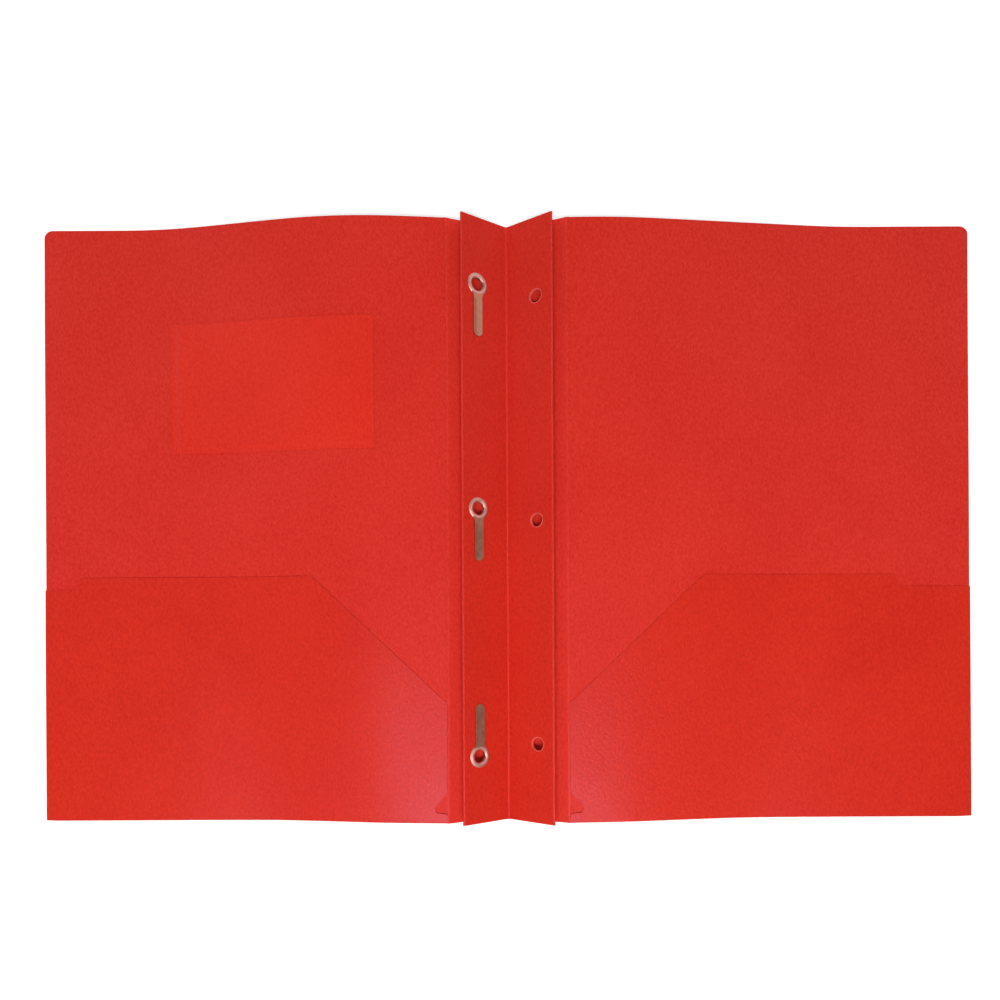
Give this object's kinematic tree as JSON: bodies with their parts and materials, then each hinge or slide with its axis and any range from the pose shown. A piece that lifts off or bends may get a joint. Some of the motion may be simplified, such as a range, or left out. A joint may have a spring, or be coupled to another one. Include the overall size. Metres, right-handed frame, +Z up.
{
  "type": "two pocket folder",
  "caption": "Open two pocket report folder of folded plastic sheet, with a double-ply binding spine, bendable metal tangs and a card pocket.",
  "frame": {"origin": "on the table, under the middle of the spine, at the middle of the folder's box", "axes": "+X across the open spread to the right, +Y up the page, +Z up from the table"},
  "size_m": [0.4572, 0.2922, 0.0155],
  "materials": {
    "folder_sheet": "fine sand grain",
    "card_film": "smooth",
    "fastener_steel": "nickel plated"
  },
  "bodies": {
    "right_cover_panel": {"right_cover": "folder_sheet", "right_pocket": "folder_sheet", "right_pocket_fold": "folder_sheet", "right_pocket_weld": "folder_sheet"},
    "right_strip": {"right_hinge_strip": "folder_sheet", "right_base_fold": "folder_sheet"},
    "right_leaf": {"right_leaf_inner": "folder_sheet", "right_leaf_outer": "folder_sheet", "right_crest_fold": "folder_sheet", "valley_fold": "folder_sheet"},
    "left_leaf": {"left_leaf_inner": "folder_sheet", "left_leaf_outer": "folder_sheet", "left_crest_fold": "folder_sheet", "upper_eyelet": "fastener_steel", "middle_eyelet": "fastener_steel", "lower_eyelet": "fastener_steel"},
    "left_strip": {"left_hinge_strip": "folder_sheet", "left_base_fold": "folder_sheet"},
    "left_cover_panel": {"left_cover": "folder_sheet", "left_pocket": "folder_sheet", "left_pocket_fold": "folder_sheet", "left_pocket_weld": "folder_sheet", "card_pocket": "card_film"},
    "upper_fastener_tang": {"upper_tang": "fastener_steel"},
    "middle_fastener_tang": {"middle_tang": "fastener_steel"},
    "lower_fastener_tang": {"lower_tang": "fastener_steel"}
  },
  "joints": [
    {"name": "right_cover_fold", "type": "hinge", "parent": "right_cover_panel", "child": "right_strip", "pos_m": [0.02903, 0, 0.01027], "axis": [0, 1, 0], "range_deg": [0, 10]},
    {"name": "right_leaf_fold", "type": "hinge", "parent": "right_strip", "child": "right_leaf", "pos_m": [0.0021, 0, 0.0009], "axis": [0, 1, 0], "range_deg": [0, 12.5]},
    {"name": "spine_fold", "type": "hinge", "parent": "right_leaf", "child": "left_leaf", "pos_m": [0, 0, 0.00227], "axis": [0, 1, 0], "range_deg": [0, 113]},
    {"name": "left_strip_fold", "type": "hinge", "parent": "left_leaf", "child": "left_strip", "pos_m": [-0.0021, 0, 0.0009], "axis": [0, 1, 0], "range_deg": [0, 12.5]},
    {"name": "left_cover_fold", "type": "hinge", "parent": "left_strip", "child": "left_cover_panel", "pos_m": [-0.02903, 0, 0.01027], "axis": [0, 1, 0], "range_deg": [0, 36]},
    {"name": "upper_tang_bend", "type": "hinge", "parent": "left_leaf", "child": "upper_fastener_tang", "pos_m": [-0.01376, 0.10795, 0.01101], "axis": [0.8339, 0, -0.5519], "range_deg": [-90, 0]},
    {"name": "middle_tang_bend", "type": "hinge", "parent": "left_leaf", "child": "middle_fastener_tang", "pos_m": [-0.01376, 0, 0.01101], "axis": [0.8339, 0, -0.5519], "range_deg": [-90, 0]},
    {"name": "lower_tang_bend", "type": "hinge", "parent": "left_leaf", "child": "lower_fastener_tang", "pos_m": [-0.01376, -0.10795, 0.01101], "axis": [-0.8339, 0, 0.5519], "range_deg": [-90, 0]}
  ]
}
